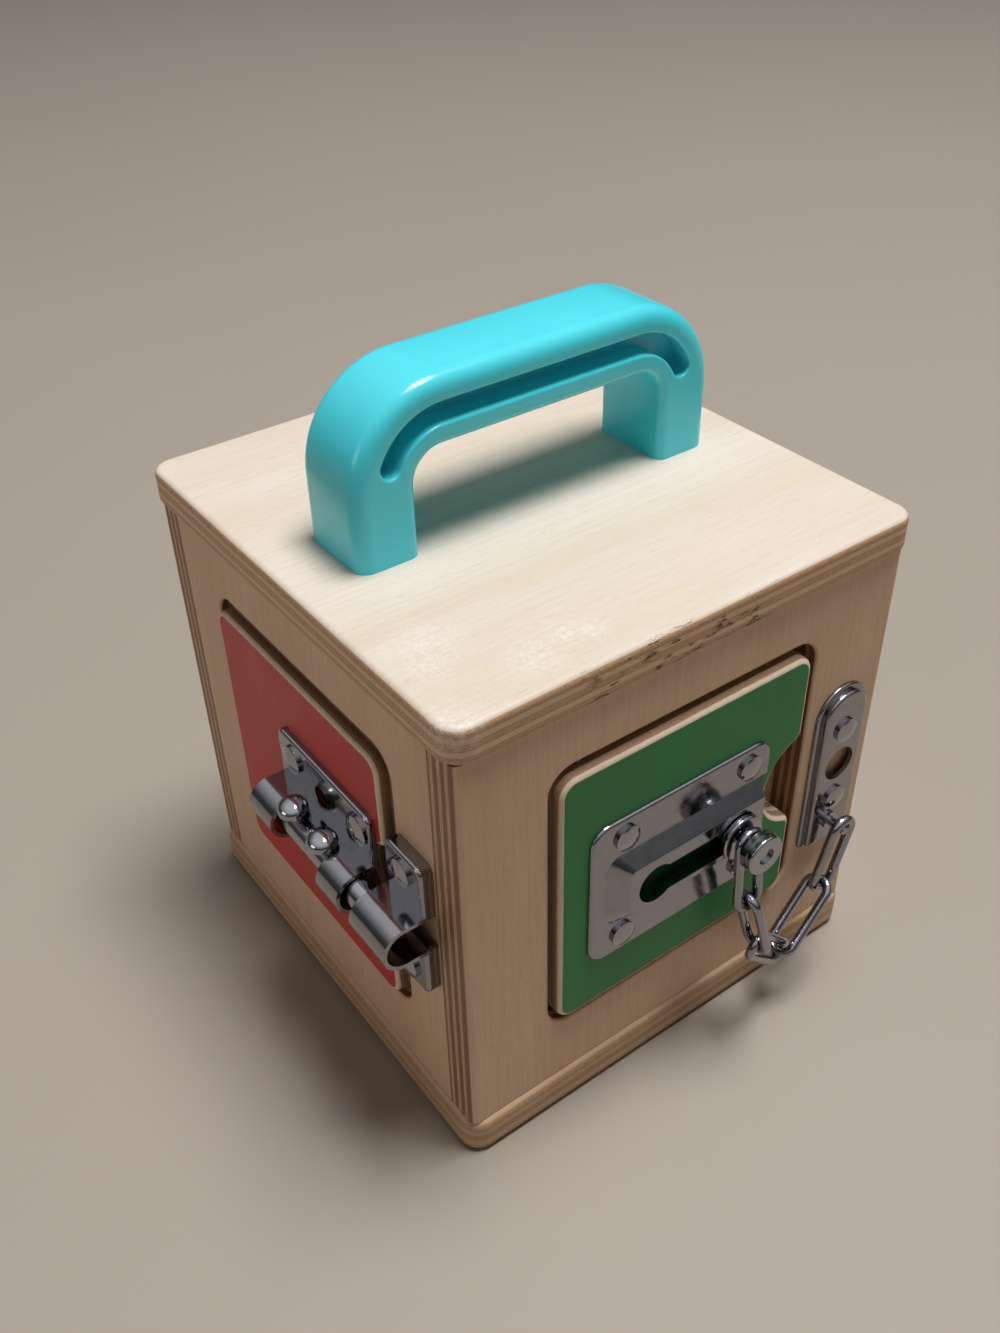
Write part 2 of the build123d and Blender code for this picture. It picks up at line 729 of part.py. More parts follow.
# Name and write every piece
pieces = {
    "base_plate": base_plate,
    "top_plate": top_plate,
    "front_panel": front_panel,
    "back_panel": back_panel,
    "left_panel": left_panel,
    "right_panel": right_panel,
    "front_door": front_door,
    "front_door_pins": front_door_pins,
    "front_door_stop": front_door_stop,
    "left_door": left_door,
    "left_door_pins": left_door_pins,
    "left_door_stop": left_door_stop,
    "handle": handle,
    "handle_screws": handle_screws,
    "track_plate": track_plate,
    "track_screws": track_screws,
    "chain_stud": chain_stud,
    "chain_link_5": chain_link_5,
    "chain_link_4": chain_link_4,
    "chain_link_3": chain_link_3,
    "chain_link_2": chain_link_2,
    "chain_link_1": chain_link_1,
    "anchor_plate": anchor_plate,
    "anchor_screws": anchor_screws,
    "anchor_pin": anchor_pin,
    "bolt_plate": bolt_plate,
    "bolt_screws": bolt_screws,
    "bolt_rod": bolt_rod,
    "keeper": keeper,
    "keeper_screws": keeper_screws,
}
for name, piece in pieces.items():
    piece.part.label = name
    export_step(piece.part, f"parts/{name}.step")
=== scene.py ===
import bmesh
import bpy
import math
from mathutils import Matrix, Vector


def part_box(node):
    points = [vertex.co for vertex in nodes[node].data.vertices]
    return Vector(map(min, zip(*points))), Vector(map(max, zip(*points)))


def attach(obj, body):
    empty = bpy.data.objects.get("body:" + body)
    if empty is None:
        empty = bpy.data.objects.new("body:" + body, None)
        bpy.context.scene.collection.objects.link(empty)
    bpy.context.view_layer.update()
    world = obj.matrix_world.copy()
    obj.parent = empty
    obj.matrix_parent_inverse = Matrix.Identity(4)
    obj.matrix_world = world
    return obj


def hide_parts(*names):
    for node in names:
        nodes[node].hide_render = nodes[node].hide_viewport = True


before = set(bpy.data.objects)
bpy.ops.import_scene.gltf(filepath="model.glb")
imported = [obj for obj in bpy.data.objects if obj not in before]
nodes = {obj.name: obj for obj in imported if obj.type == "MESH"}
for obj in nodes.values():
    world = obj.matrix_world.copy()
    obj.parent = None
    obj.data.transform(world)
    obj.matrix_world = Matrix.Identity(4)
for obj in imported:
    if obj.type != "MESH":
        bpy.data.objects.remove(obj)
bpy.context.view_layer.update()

# Camera, at the photograph's viewing angle
CAMERA_AZIMUTH = math.radians(-35.24)
CAMERA_ELEVATION = math.radians(37.08)
CAMERA_ROLL = math.radians(-1.56)
CAMERA_PLACE = (-0.1712, -0.2328, 0.3054)
CAMERA_LENS = 46.46
SENSOR_WIDTH = 36.0
CLIP_NEAR = 0.01
CLIP_FAR = 50.0


def add_camera():
    level = math.cos(CAMERA_ELEVATION)
    back = Vector((
        math.sin(CAMERA_AZIMUTH) * level, -math.cos(CAMERA_AZIMUTH) * level, math.sin(CAMERA_ELEVATION),
    ))
    side = (-back).cross(Vector((0, 0, 1))).normalized()
    rise = side.cross(-back).normalized()
    right = side * math.cos(CAMERA_ROLL) + rise * math.sin(CAMERA_ROLL)
    up = -side * math.sin(CAMERA_ROLL) + rise * math.cos(CAMERA_ROLL)
    data = bpy.data.cameras.new("camera")
    data.sensor_fit = "HORIZONTAL"
    data.sensor_width = SENSOR_WIDTH
    data.lens = CAMERA_LENS
    data.clip_start = CLIP_NEAR
    data.clip_end = CLIP_FAR
    camera = bpy.data.objects.new("camera", data)
    bpy.context.scene.collection.objects.link(camera)
    turn = Matrix((right, up, back)).transposed().to_4x4()
    camera.matrix_world = Matrix.Translation(CAMERA_PLACE) @ turn
    bpy.context.scene.camera = camera


add_camera()
bpy.context.scene.view_settings.view_transform = "Standard"

# Directions
UNIT = {"X": (1, 0, 0), "Y": (0, 1, 0), "Z": (0, 0, 1)}
FRONT = (0, -1, 0)
LEFT = (-1, 0, 0)

# A Mix node's two inputs and its result by number, because sockets of several kinds share their names
MIX_SOCKETS = {"FLOAT": (2, 3, 0), "VECTOR": (4, 5, 1), "RGBA": (6, 7, 2)}


class Nodes:
    """Short names for the nodes of one tree. A value is a plain one or another node's output."""

    def __init__(self, tree):
        self.tree = tree

    def new(self, kind):
        return self.tree.nodes.new("ShaderNode" + kind)

    def put(self, value, socket):
        if hasattr(value, "is_linked"):
            self.tree.links.new(value, socket)
        else:
            socket.default_value = value

    def math(self, op, a, b=0.0):
        node = self.new("Math")
        node.operation = op
        self.put(a, node.inputs[0])
        self.put(b, node.inputs[1])
        return node.outputs[0]

    def add(self, a, b):
        return self.math("ADD", a, b)

    def times(self, *values):
        """The product of any number of values."""
        product = values[0]
        for value in values[1:]:
            product = self.math("MULTIPLY", product, value)
        return product

    def rest_of(self, share):
        """What a share leaves of one."""
        return self.math("SUBTRACT", 1.0, share)

    def compare(self, op, a, b):
        """A number from two vectors, such as their distance."""
        node = self.new("VectorMath")
        node.operation = op
        self.put(a, node.inputs[0])
        self.put(b, node.inputs[1])
        return node.outputs["Value"]

    def span(self, value, low, high, to_low=0.0, to_high=1.0, smooth=False):
        """A value from low to high turned into one from to_low to to_high, and held at both ends."""
        node = self.new("MapRange")
        node.interpolation_type = "SMOOTHSTEP" if smooth else "LINEAR"
        self.put(value, node.inputs["Value"])
        node.inputs["From Min"].default_value = low
        node.inputs["From Max"].default_value = high
        node.inputs["To Min"].default_value = to_low
        node.inputs["To Max"].default_value = to_high
        return node.outputs[0]

    def between(self, value, low, high, fade):
        """One between two values and nothing outside them, fading in and out inside."""
        rising = self.span(value, low, low + fade)
        return self.times(rising, self.span(value, high - fade, high, 1.0, 0.0))

    def mix(self, amount, a, b, kind="RGBA"):
        first, second, result = MIX_SOCKETS[kind]
        node = self.new("Mix")
        node.data_type = kind
        self.put(amount, node.inputs["Factor"])
        self.put(a, node.inputs[first])
        self.put(b, node.inputs[second])
        return node.outputs[result]


class Shade(Nodes):
    """A material and its pattern nodes. Their places are in metres, so a scale counts per metre."""

    def __init__(self, name):
        self.mat = bpy.data.materials.new(name)
        self.mat.use_nodes = True
        super().__init__(self.mat.node_tree)
        self.bsdf = self.tree.nodes["Principled BSDF"]
        coord = self.new("TexCoord")
        self.place = coord.outputs["Object"]
        self.normal = coord.outputs["Normal"]

    def along(self, axis, vector=None):
        """How far the place, or another vector, lies along an axis."""
        return self.compare("DOT_PRODUCT", self.place if vector is None else vector, axis)

    def noise(self, scale, detail=2.0, rough=0.5, twist=0.0, shift=(0, 0, 0)):
        """Noise with one scale for all axes, or one scale for each."""
        mapping = self.new("Mapping")
        self.put(self.place, mapping.inputs["Vector"])
        mapping.inputs["Scale"].default_value = scale if isinstance(scale, tuple) else (scale, scale, scale)
        mapping.inputs["Location"].default_value = shift
        node = self.new("TexNoise")
        self.put(mapping.outputs[0], node.inputs["Vector"])
        node.inputs["Scale"].default_value = 1.0
        node.inputs["Detail"].default_value = detail
        node.inputs["Roughness"].default_value = rough
        node.inputs["Distortion"].default_value = twist
        return node.outputs[0]

    def bump(self, height, strength, distance, normal=None):
        """A relief, on top of another one where normal is given."""
        node = self.new("Bump")
        node.inputs["Strength"].default_value = strength
        node.inputs["Distance"].default_value = distance
        self.put(height, node.inputs["Height"])
        if normal is not None:
            self.put(normal, node.inputs["Normal"])
        return node.outputs[0]

    def finish(self, color, rough, normal=None, **fixed):
        """Sets the shader's sockets, and gives the material."""
        self.put(color, self.bsdf.inputs["Base Color"])
        self.put(rough, self.bsdf.inputs["Roughness"])
        if normal is not None:
            self.put(normal, self.bsdf.inputs["Normal"])
        for name, value in fixed.items():
            self.bsdf.inputs[name.replace("_", " ")].default_value = value
        return self.mat


def rgb(r, g, b):
    """A colour given in display values from 0 to 255."""
    def linear(v):
        v = v / 255.0
        return v / 12.92 if v <= 0.04045 else ((v + 0.055) / 1.055) ** 2.4
    return (linear(r), linear(g), linear(b), 1.0)


def dyed(color, *shares):
    """A colour times one share, or times a share for each channel."""
    if len(shares) == 1:
        shares = shares * 3
    return tuple(value * share for value, share in zip(color, shares)) + (1.0,)


def lifted(color, share, more=0.0):
    """A colour times a share of more than one, with some more light in every channel."""
    return tuple(min(1.0, value * share + more) for value in color[:3]) + (1.0,)


def by_grain(grain, along, across):
    """Scales for a pattern that is long in the grain direction, one of X, Y, Z."""
    return tuple(along if axis == grain else across for axis in "XYZ")


def dress(name, material):
    """Gives a CAD node its material."""
    for slot in nodes[name].material_slots:
        slot.material = material
    if not nodes[name].material_slots:
        nodes[name].data.materials.append(material)


# Wood
TOP_PALE = rgb(230, 220, 210)
TOP_BROWN = rgb(202, 162, 124)
TOP_CORE = rgb(225, 190, 155)
WALL_PALE = rgb(223, 192, 163)
WALL_BROWN = rgb(145, 105, 72)
BASE_BROWN = rgb(188, 154, 119)
DOOR_PALE = rgb(236, 219, 201)
DOOR_BROWN = rgb(159, 128, 103)
SCUFFED_AND_HIGHLIGHT = rgb(239, 235, 227)
TORN = rgb(86, 64, 49)
WOOD_IOR = 1.46


class Plywood(Shade):
    """Plywood: a sanded birch face whose grain runs along one axis, and laminations across another."""

    def __init__(self, node, grain, thick, pale, brown, seed, layers=7, glued=0.75, core=None):
        super().__init__("ply_" + node)
        self.grain = grain
        self.thick = thick
        self.shift = (seed * 0.37, seed * 0.61, seed * 0.23)
        facing = self.math("ABSOLUTE", self.along(UNIT[thick], self.normal))
        self.face = self.span(facing, 0.45, 0.75, smooth=True)
        self.streak = self.noise(by_grain(grain, 40, 900), 4.0, 0.62, shift=self.shift)
        self.rough = self.span(self.streak, 0.3, 0.8, 0.42, 0.60)
        rim = self.laminations(node, core or dyed(pale, 0.86, 0.78, 0.66), brown, layers, glued)
        self.color = self.mix(self.face, rim, self.veneer(pale))

    def veneer(self, pale):
        """The face: broad bands, streaks and short flecks along the grain, and paler clouds."""
        broad = self.noise(by_grain(self.grain, 5, 34), 3.0, 0.55, 0.6, self.shift)
        fleck = self.noise(by_grain(self.grain, 330, 2600), shift=self.shift)
        cloud = self.noise(16, shift=self.shift)
        tone = self.mix(self.span(broad, 0.30, 0.72), pale, dyed(pale, 0.90, 0.84, 0.76))
        tone = self.mix(self.span(self.streak, 0.42, 0.80, 0.0, 0.55), tone, dyed(pale, 0.80, 0.71, 0.60))
        tone = self.mix(self.span(fleck, 0.60, 0.78, 0.0, 0.50), tone, dyed(pale, 0.66, 0.52, 0.38))
        return self.mix(self.span(cloud, 0.45, 0.85, 0.0, 0.25), tone, lifted(pale, 1.10))

    def laminations(self, node, core, brown, layers, glued):
        """The edge: light and dark layers by turns, with a thin dark line of glue between them."""
        low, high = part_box(node)
        axis = "XYZ".index(self.thick)
        inward = self.math("SUBTRACT", self.along(UNIT[self.thick]), low[axis])
        wobble = self.span(self.noise(22, shift=self.shift), 0.0, 1.0, -0.16, 0.16)
        depth = self.add(self.times(inward, layers / (high[axis] - low[axis])), wobble)
        part = self.math("PINGPONG", depth, 1.0)
        dark_layer = self.span(part, 0.42, 0.58, smooth=True)
        glue = self.span(self.math("ABSOLUTE", self.math("SUBTRACT", part, 0.5)), 0.0, 0.09, 1.0, 0.0)
        pores = self.noise(1900, 2.0, 0.6, shift=self.shift)
        fibres = self.noise(by_grain(self.thick, 2400, 260), 3.0, 0.6, shift=self.shift)
        light_band = self.mix(self.span(fibres, 0.35, 0.75, 0.0, 0.6), core, brown)
        dark_band = self.mix(self.span(pores, 0.45, 0.70, 0.0, 0.65), brown, dyed(brown, 0.45))
        rim = self.mix(dark_layer, light_band, dark_band)
        height = self.add(self.times(self.streak, 0.6), self.times(dark_layer, pores, 0.8))
        self.relief = self.bump(height, 0.18, 0.0004)
        return self.mix(self.times(glue, glued), rim, dyed(brown, 0.30))

    def seal(self):
        return self.finish(self.color, self.rough, self.relief, IOR=WOOD_IOR)


# The top plate's worn pale spots, (x, y, reach), the first also a painted highlight; torn fibres along a
# stretch of its front edge
SCUFFS_AND_HIGHLIGHT = (
    (-0.0670, -0.0680, 0.010), (-0.0560, -0.0420, 0.012), (-0.0600, -0.0490, 0.007),
    (-0.0404, -0.0597, 0.009), (-0.0300, -0.0575, 0.007), (-0.0245, -0.0595, 0.006),
)
TORN_FROM = -0.040
TORN_TO = 0.024
TORN_FADES = (0.012, 0.010)
TORN_DEPTH = 0.0019
TORN_DEPTH_FADE = 0.0010


def top_plywood():
    ply = Plywood("top_plate", "X", "Z", TOP_PALE, TOP_BROWN, 1, 6, core=TOP_CORE)
    low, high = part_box("top_plate")
    crumbs = ply.span(ply.noise(900, 4.0, 0.75), 0.44, 0.60)
    worn_and_highlight = 0.0
    # Pale spots: wear, and the first, at the near corner, also a painted highlight
    for x, y, reach in SCUFFS_AND_HIGHLIGHT:
        spot = ply.span(ply.compare("DISTANCE", ply.place, (x, y, high.z)), 0.0, reach, 1.0, 0.0)
        worn_and_highlight = ply.math("MAXIMUM", worn_and_highlight, ply.times(spot, crumbs))
    ply.color = ply.mix(ply.times(worn_and_highlight, 0.75), ply.color, SCUFFED_AND_HIGHLIGHT)
    across = ply.along(UNIT["X"])
    inner = low.y + TORN_DEPTH
    torn = ply.times(
        ply.span(ply.noise((170, 60, 620), 3.0, 0.65, shift=(3.1, 0.0, 0.7)), 0.56, 0.64),
        ply.span(across, TORN_FROM, TORN_FROM + TORN_FADES[0]),
        ply.span(across, TORN_TO - TORN_FADES[1], TORN_TO, 1.0, 0.0),
        ply.span(ply.along(UNIT["Y"]), inner - TORN_DEPTH_FADE, inner, 1.0, 0.0),
    )
    ply.color = ply.mix(ply.times(torn, ply.rest_of(ply.face)), ply.color, TORN)
    ply.relief = ply.bump(torn, 0.5, 0.0006, ply.relief)
    return ply.seal()


dress("top_plate", top_plywood())
dress("base_plate", Plywood("base_plate", "X", "Z", WALL_PALE, BASE_BROWN, 2, 6, 0.25).seal())

# Walls and door stops
for seed, name, thick in (
    (3, "front_panel", "Y"), (4, "back_panel", "Y"), (5, "left_panel", "X"), (6, "right_panel", "X"),
    (9, "front_door_stop", "Y"), (10, "left_door_stop", "X"),
):
    dress(name, Plywood(name, "Z", thick, WALL_PALE, WALL_BROWN, seed).seal())

# Doors: the paint is darker in a patch under the latch's plate, a painted shade. The insets say how far its
# left, right, lower and upper sides lie inside the plate's box
GREEN = rgb(49, 134, 75)
RED = rgb(193, 52, 46)
TRACK_SHADE_INSETS = (0.0050, 0.0005, 0.0122, 0.0120)
BOLT_SHADE_INSETS = (0.0024, 0.0025, 0.0020, 0.0021)
PAINTED_SHADE_FADE = 0.003
PAINT_IOR = 1.32


def painted_door(name, thick, front, paint, seed, plate, shade_insets):
    """A plywood door with satin paint on its flat front, and painted shade on the paint under a plate."""
    ply = Plywood(name, "Z", thick, DOOR_PALE, DOOR_BROWN, seed, 5)
    ragged = ply.span(ply.noise(260, 3.0, 0.6), 0.0, 1.0, -0.012, 0.012)
    painted = ply.span(ply.add(ply.along(front, ply.normal), ragged), 0.975, 0.985)
    brushed = ply.noise(by_grain("Z", 30, 420), 3.0, 0.55)
    cloud = ply.noise(30)
    specks = ply.noise(620, 3.0, 0.7, shift=(7.0, 2.0, 5.0))
    grit = ply.noise(1500)
    tint = ply.mix(ply.span(brushed, 0.35, 0.70, 0.7, 1.0), dyed(paint, 0.80), paint)
    tint = ply.mix(ply.span(cloud, 0.40, 0.75, 0.0, 0.6), tint, lifted(paint, 1.18, 0.004))
    tint = ply.mix(ply.span(specks, 0.76, 0.80, 0.0, 0.5), tint, lifted(paint, 1.5, 0.10))
    # Painted shade: the paint under the plate is darkened to four tenths, where shade falls
    low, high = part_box(plate)
    side = "X" if thick == "Y" else "Y"
    axis = "XYZ".index(side)
    left, right, under, over = shade_insets
    painted_shade_patch = ply.times(
        ply.between(ply.along(UNIT[side]), low[axis] + left, high[axis] - right, PAINTED_SHADE_FADE),
        ply.between(ply.along(UNIT["Z"]), low.z + under, high.z - over, PAINTED_SHADE_FADE),
    )
    tint = ply.mix(painted_shade_patch, tint, dyed(paint, 0.40))
    satin = ply.bump(ply.add(ply.times(brushed, 0.4), ply.times(grit, 0.25)), 0.05, 0.0004)
    satin_rough = ply.span(cloud, 0.3, 0.7, 0.34, 0.46)
    color = ply.mix(painted, ply.color, tint)
    rough = ply.add(ply.times(painted, satin_rough), ply.times(ply.rest_of(painted), ply.rough))
    return ply.finish(color, rough, ply.mix(painted, ply.relief, satin, "VECTOR"), IOR=PAINT_IOR)


dress("front_door", painted_door("front_door", "Y", FRONT, GREEN, 21, "track_plate", TRACK_SHADE_INSETS))
dress("left_door", painted_door("left_door", "X", LEFT, RED, 22, "bolt_plate", BOLT_SHADE_INSETS))


def moulded(name, first, second):
    """Glossy plastic in two close tones: a slow ripple, a fine grain and faint rub marks."""
    s = Shade(name)
    cloud = s.noise(24)
    grain = s.noise(900)
    ripple = s.noise(60)
    rub = s.noise((90, 1400, 300), 3.0, 0.7)
    tint = s.mix(s.span(cloud, 0.3, 0.7), first, second)
    normal = s.bump(s.add(s.times(grain, 0.12), ripple), 0.06, 0.0006)
    rough = s.add(s.span(rub, 0.55, 0.80, 0.0, 0.10), 0.22)
    return s.finish(tint, rough, normal, IOR=1.45, Coat_Weight=0.08, Coat_Roughness=0.08)


turquoise = moulded("turquoise_plastic", rgb(74, 219, 236), rgb(81, 226, 243))
dress("handle", turquoise)


def plated(name, tone, low, high, wave):
    """Bright plating: a mirror, a little uneven from the pressing, with fine rub marks."""
    s = Shade(name)
    swell = s.noise(wave)
    rub = s.noise((700, 2600, 900), 4.0, 0.7)
    spots = s.noise(420, 2.0, 0.6)
    tint = s.mix(s.span(spots, 0.55, 0.80, 0.0, 0.5), tone, dyed(tone, 0.72))
    rough = s.add(s.span(rub, 0.45, 0.75, low, high), s.span(spots, 0.6, 0.8, 0.0, 0.08))
    return s.finish(tint, rough, s.bump(swell, 0.25, 0.0003), Metallic=1.0)


# Metals
LINKS = 5
sheet_metal = plated("chrome_sheet", rgb(149, 147, 150), 0.10, 0.20, 160)
turned_metal = plated("chrome_turned", rgb(162, 161, 165), 0.07, 0.14, 220)
wire_metal = plated("chrome_wire", rgb(150, 149, 154), 0.08, 0.18, 300)
steel = plated("steel", rgb(150, 150, 150), 0.25, 0.40, 200)
for metal, names in (
    (sheet_metal, ("track_plate", "anchor_plate", "bolt_plate", "keeper")),
    (turned_metal, ("chain_stud", "bolt_rod", "anchor_pin")),
    (turned_metal, ("track_screws", "anchor_screws", "bolt_screws", "keeper_screws")),
    (wire_metal, tuple("chain_link_%d" % number for number in range(1, LINKS + 1))),
    (steel, ("front_door_pins", "left_door_pins", "handle_screws")),
):
    for name in names:
        dress(name, metal)


# Mesh helpers
def stand_in(name, bm, material, body, node, smooth=40.0):
    """Turns a bmesh into a piece that rides on a body and is seen in place of a CAD node."""
    mesh = bpy.data.meshes.new(name)
    bm.to_mesh(mesh)
    bm.free()
    mesh.polygons.foreach_set("use_smooth", [True] * len(mesh.polygons))
    mesh.set_sharp_from_angle(angle=math.radians(smooth))
    mesh.materials.append(material)
    obj = bpy.data.objects.new(name, mesh)
    bpy.context.scene.collection.objects.link(obj)
    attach(obj, body)
    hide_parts(node)


def arc(across, up, radius, start, end, steps):
    """Points on a circle in the XZ plane, angles in degrees from +X towards +Z."""
    angles = [math.radians(start + (end - start) * n / steps) for n in range(steps + 1)]
    return [(across + radius * math.cos(a), up + radius * math.sin(a)) for a in angles]


def quarter(steps):
    """Angles from nothing to a right angle."""
    return [math.pi / 2 * n / steps for n in range(steps + 1)]


def join_rings(bm, rings):
    """Faces between rings of vertices that follow each other."""
    for near, far in zip(rings, rings[1:]):
        for n in range(len(near)):
            bm.faces.new((near[n - 1], near[n], far[n], far[n - 1]))


# Handle: the solid's own arch, with the groove as narrow and as high as the photograph shows
ARCH_LOW, ARCH_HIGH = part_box("handle")
FOOT = ARCH_LOW.z
ARCH_HALF = ARCH_HIGH.y
LEG_OUT = ARCH_HIGH.x
LEG_IN = 0.037
OUTER_RADIUS = 0.025
OUTER_STEPS = 24
OUTER_ROUND = 0.004
OUTER_ROUND_STEPS = 7
INNER_RADIUS = 0.008
INNER_STEPS = 14
INNER_ROUND = 0.0025
INNER_ROUND_STEPS = 5
FLAT_MARGIN = 0.0003
FLAT_NORMAL = 0.9999
BEND = LEG_OUT - OUTER_RADIUS
BEND_UP = ARCH_HIGH.z - OUTER_RADIUS
TINY = 1e-6

# Groove: its middle line about the bends, its sweep past their tops in degrees, the flare at its lip,
# and the fillet at its floor as (above the floor, in from the wall)
GROOVE_MIDDLE = 0.0161
GROOVE_HALF = 0.0027
GROOVE_DEEP = 0.0065
GROOVE_SWEEP = 65
GROOVE_STEPS = 20
GROOVE_END_STEPS = 14
GROOVE_FLARE = 0.0007
GROOVE_LEDGE = 0.0002
GROOVE_FILLET = ((0.0004, 0.0), (0.0001, 0.0001), (0.0, 0.0004))


def round_rim(bm, line, offset, segments):
    """Rounds the edges that follow a line of points on either side, but none across or at the foot."""
    spots = {(round(x, 6), round(z, 6)) for x, z in line}
    rim = [
        edge for edge in bm.edges
        if all((round(v.co.x, 6), round(v.co.z, 6)) in spots for v in edge.verts)
        and abs(abs(sum(v.co.y for v in edge.verts)) - 2 * ARCH_HALF) < TINY
        and max(v.co.z for v in edge.verts) > FOOT + TINY
    ]
    bmesh.ops.bevel(
        bm, geom=rim, offset=offset, offset_type="OFFSET", segments=segments, profile=0.5,
        affect="EDGES", clamp_overlap=False,
    )


def groove_outline(half):
    """The groove's outline in XZ: two arcs over it, a half round, two arcs under it, a half round."""
    low, high = 90 - GROOVE_SWEEP, 90 + GROOVE_SWEEP
    over, under = GROOVE_MIDDLE + half, GROOVE_MIDDLE - half
    across, up = arc(BEND, BEND_UP, GROOVE_MIDDLE, low, 90, 1)[0]
    return (
        arc(-BEND, BEND_UP, over, high, 90, GROOVE_STEPS)
        + arc(BEND, BEND_UP, over, 90, low, GROOVE_STEPS)
        + arc(across, up, half, low, low - 180, GROOVE_END_STEPS)[1:-1]
        + arc(BEND, BEND_UP, under, low, 90, GROOVE_STEPS)
        + arc(-BEND, BEND_UP, under, 90, high, GROOVE_STEPS)
        + arc(-across, up, half, high + 180, high, GROOVE_END_STEPS)[1:-1]
    )


def cut_groove(bm, side):
    """Replaces the flat of one side, -1 or 1, by a flat with the groove let into it."""
    facing = [face for face in bm.faces if face.normal.y * side > FLAT_NORMAL]
    flat = max(facing, key=lambda face: face.calc_area())
    rim = list(flat.edges)
    bmesh.ops.delete(bm, geom=[flat], context="FACES_ONLY")
    steps = [(0.0, GROOVE_HALF + GROOVE_FLARE + GROOVE_LEDGE)]
    for a in quarter(5):
        steps.append((GROOVE_FLARE * (1 - math.cos(a)), GROOVE_HALF + GROOVE_FLARE * (1 - math.sin(a))))
    for above, inward in GROOVE_FILLET:
        steps.append((GROOVE_DEEP - above, GROOVE_HALF - inward))
    rings = [
        [bm.verts.new((x, side * (ARCH_HALF - deep), z)) for x, z in groove_outline(half)]
        for deep, half in steps
    ]
    join_rings(bm, rings)
    bm.faces.new(rings[-1])
    mouth = rings[0]
    lip = [bm.edges.get((mouth[n - 1], mouth[n])) for n in range(len(mouth))]
    bmesh.ops.triangle_fill(bm, use_beauty=True, edges=rim + lip, normal=(0, side, 0))


def handle_arch():
    outer = (
        [(-LEG_OUT, FOOT)] + arc(-BEND, BEND_UP, OUTER_RADIUS, 180, 90, OUTER_STEPS)
        + arc(BEND, BEND_UP, OUTER_RADIUS, 90, 0, OUTER_STEPS) + [(LEG_OUT, FOOT)]
    )
    turn = LEG_IN - INNER_RADIUS
    inner = (
        [(LEG_IN, FOOT)] + arc(turn, BEND_UP, INNER_RADIUS, 0, 90, INNER_STEPS)
        + arc(-turn, BEND_UP, INNER_RADIUS, 90, 180, INNER_STEPS) + [(-LEG_IN, FOOT)]
    )
    bm = bmesh.new()
    rings = [[bm.verts.new((x, y, z)) for x, z in outer + inner] for y in (-ARCH_HALF, ARCH_HALF)]
    bm.faces.new(rings[0])
    bm.faces.new(rings[1][::-1])
    join_rings(bm, rings)
    bmesh.ops.recalc_face_normals(bm, faces=bm.faces)
    round_rim(bm, outer, OUTER_ROUND, OUTER_ROUND_STEPS)
    round_rim(bm, inner, INNER_ROUND, INNER_ROUND_STEPS)
    flats = [face for face in bm.faces if abs(face.normal.y) > FLAT_NORMAL]
    bmesh.ops.inset_individual(bm, faces=flats, thickness=FLAT_MARGIN, use_even_offset=True)
    for side in (-1, 1):
        cut_groove(bm, side)
    bmesh.ops.recalc_face_normals(bm, faces=bm.faces)
    if bm.calc_volume(signed=True) < 0:
        bmesh.ops.reverse_faces(bm, faces=bm.faces)
    return bm


stand_in("handle_arch", handle_arch(), turquoise, "box", "handle", 18.0)

# Bolt rod: thinner than its barrels, lying against their upper side, with two domed knobs. Places are
# (x, z), and the knob's profile is (distance from its foot, radius)
ROD_RADIUS = 0.0040
ROD_SOFT = 0.0007
ROD_PLACE = (-0.0762, 0.0774)
KNOB_PLACE = (-0.0767, 0.0768)
KNOBS_ALONG = (-0.0092, -0.0238)
KNOB_LEAN = math.radians(82)
KNOB_RADIUS = 0.0040
KNOB_DOME_START = 0.0076
KNOB_DOME = 0.0025
KNOB_PROFILE = (
    (0.0, 0.0014), (0.0052, 0.0014), (0.0060, 0.0017), (0.0065, 0.0026), (0.0067, 0.0036),
    (0.0070, KNOB_RADIUS),
)


def turned(bm, profile, base, way, steps=48):
    """Adds a turned form: (distance along the axis, radius) pairs about a line from base."""
    way = Vector(way).normalized()
    first = way.orthogonal().normalized()
    second = way.cross(first)
    angles = [2 * math.pi * n / steps for n in range(steps)]
    rings = []
    for along, radius in profile:
        centre = Vector(base) + way * along
        rings.append([
            bm.verts.new(centre + (first * math.cos(a) + second * math.sin(a)) * radius) for a in angles
        ])
    join_rings(bm, rings)
    bm.faces.new(rings[0][::-1])
    bm.faces.new(rings[-1])


def rod_and_knobs():
    bm = bmesh.new()
    low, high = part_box("bolt_rod")
    ends = [
        (ROD_SOFT * (1 - math.sin(a)), ROD_RADIUS - ROD_SOFT * (1 - math.cos(a)))
        for a in reversed(quarter(4))
    ]
    length = high.y - low.y
    rod = ends + [(length - along, radius) for along, radius in reversed(ends)]
    turned(bm, rod, (ROD_PLACE[0], high.y, ROD_PLACE[1]), FRONT)
    dome = [
        (KNOB_DOME_START + KNOB_DOME * math.sin(a), KNOB_RADIUS * math.cos(a)) for a in quarter(9)[:-1]
    ]
    way = (-math.cos(KNOB_LEAN), 0, math.sin(KNOB_LEAN))
    for along in KNOBS_ALONG:
        turned(bm, list(KNOB_PROFILE) + dome, (KNOB_PLACE[0], along, KNOB_PLACE[1]), way)
    bmesh.ops.recalc_face_normals(bm, faces=bm.faces)
    return bm


stand_in("rod_and_knobs", rod_and_knobs(), turned_metal, "bolt_rod", "bolt_rod")

# Floor
FLOOR_HALF = 6.0
FLOOR_CORNERS = [(x * FLOOR_HALF, y * FLOOR_HALF, 0) for x, y in ((-1, -1), (1, -1), (1, 1), (-1, 1))]


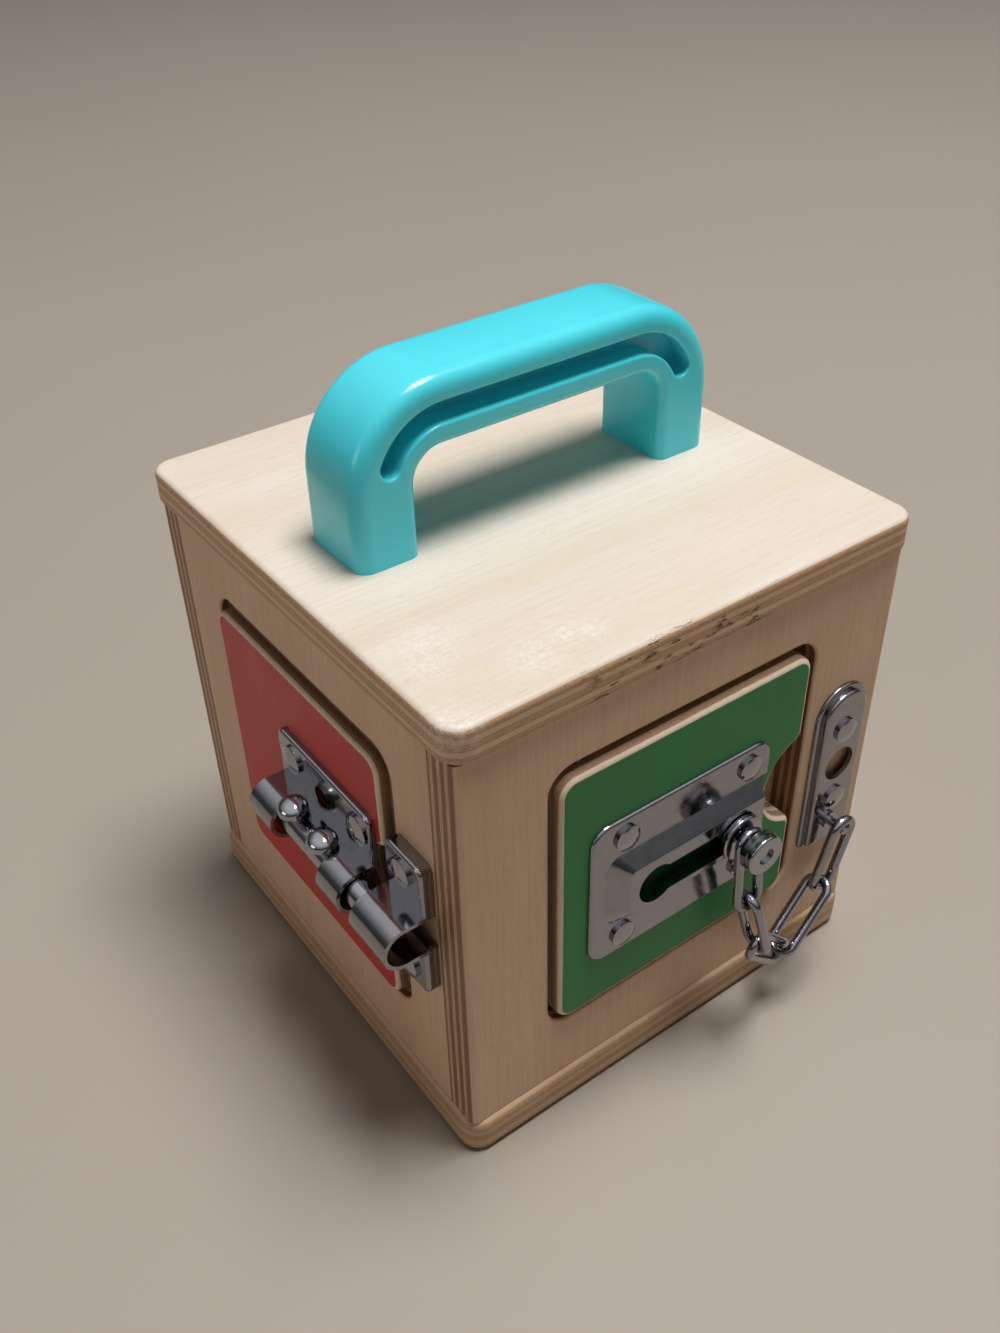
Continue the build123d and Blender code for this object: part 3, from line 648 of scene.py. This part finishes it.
def add_floor():
    mesh = bpy.data.meshes.new("floor")
    mesh.from_pydata(FLOOR_CORNERS, [], [(0, 1, 2, 3)])
    s = Shade("floor_pale")
    mesh.materials.append(s.finish(s.mix(s.noise(3), rgb(163, 154, 143), rgb(169, 159, 149)), 0.6))
    floor = bpy.data.objects.new("floor", mesh)
    bpy.context.scene.collection.objects.link(floor)


add_floor()


# Lamps
def soft_light(name, place, aim, size, power, color):
    data = bpy.data.lights.new(name, "AREA")
    data.shape = "RECTANGLE"
    data.size, data.size_y = size
    data.energy = power
    data.color = color
    lamp = bpy.data.objects.new(name, data)
    lamp.location = place
    lamp.rotation_euler = (Vector(aim) - Vector(place)).to_track_quat("-Z", "Y").to_euler()
    bpy.context.scene.collection.objects.link(lamp)


MIDDLE = (0, 0, 0.1)
soft_light("key", (0.36, -0.20, 2.20), MIDDLE, (0.80, 0.80), 50.6, (1.0, 0.995, 0.985))
soft_light("fill", (-1.3, 0.2, 0.50), MIDDLE, (0.6, 0.4), 1.67, (1.0, 0.95, 0.90))

# World: weak warm light from all round, and for the camera and for reflections a room that is bright
# overhead, as (height, level)
AMBIENT = 0.066
AMBIENT_TINT = (1.0, 0.74, 0.54, 1.0)
ROOM_TINT = (0.95, 0.97, 1.0, 1.0)
ROOM = ((0.0, 0.06), (0.28, 0.10), (0.55, 0.45), (0.72, 0.80), (1.0, 0.40))


def add_world():
    world = bpy.data.worlds.new("studio")
    bpy.context.scene.world = world
    world.use_nodes = True
    s = Nodes(world.node_tree)
    background = s.tree.nodes["Background"]
    upward = s.new("SeparateXYZ")
    s.put(s.new("TexCoord").outputs["Generated"], upward.inputs[0])
    room = s.new("ValToRGB")
    stops = room.color_ramp.elements
    for height, level in ROOM:
        stop = stops.new(height) if height else stops[0]
        stop.position = height
        stop.color = (level, level, level, 1.0)
    stops.remove(stops[-1])
    s.put(upward.outputs["Z"], room.inputs[0])
    path = s.new("LightPath")
    seen = s.math("MAXIMUM", path.outputs["Is Camera Ray"], path.outputs["Is Glossy Ray"])
    s.put(s.mix(seen, AMBIENT_TINT, ROOM_TINT), background.inputs["Color"])
    s.put(s.mix(seen, AMBIENT, room.outputs[0], "FLOAT"), background.inputs["Strength"])


add_world()
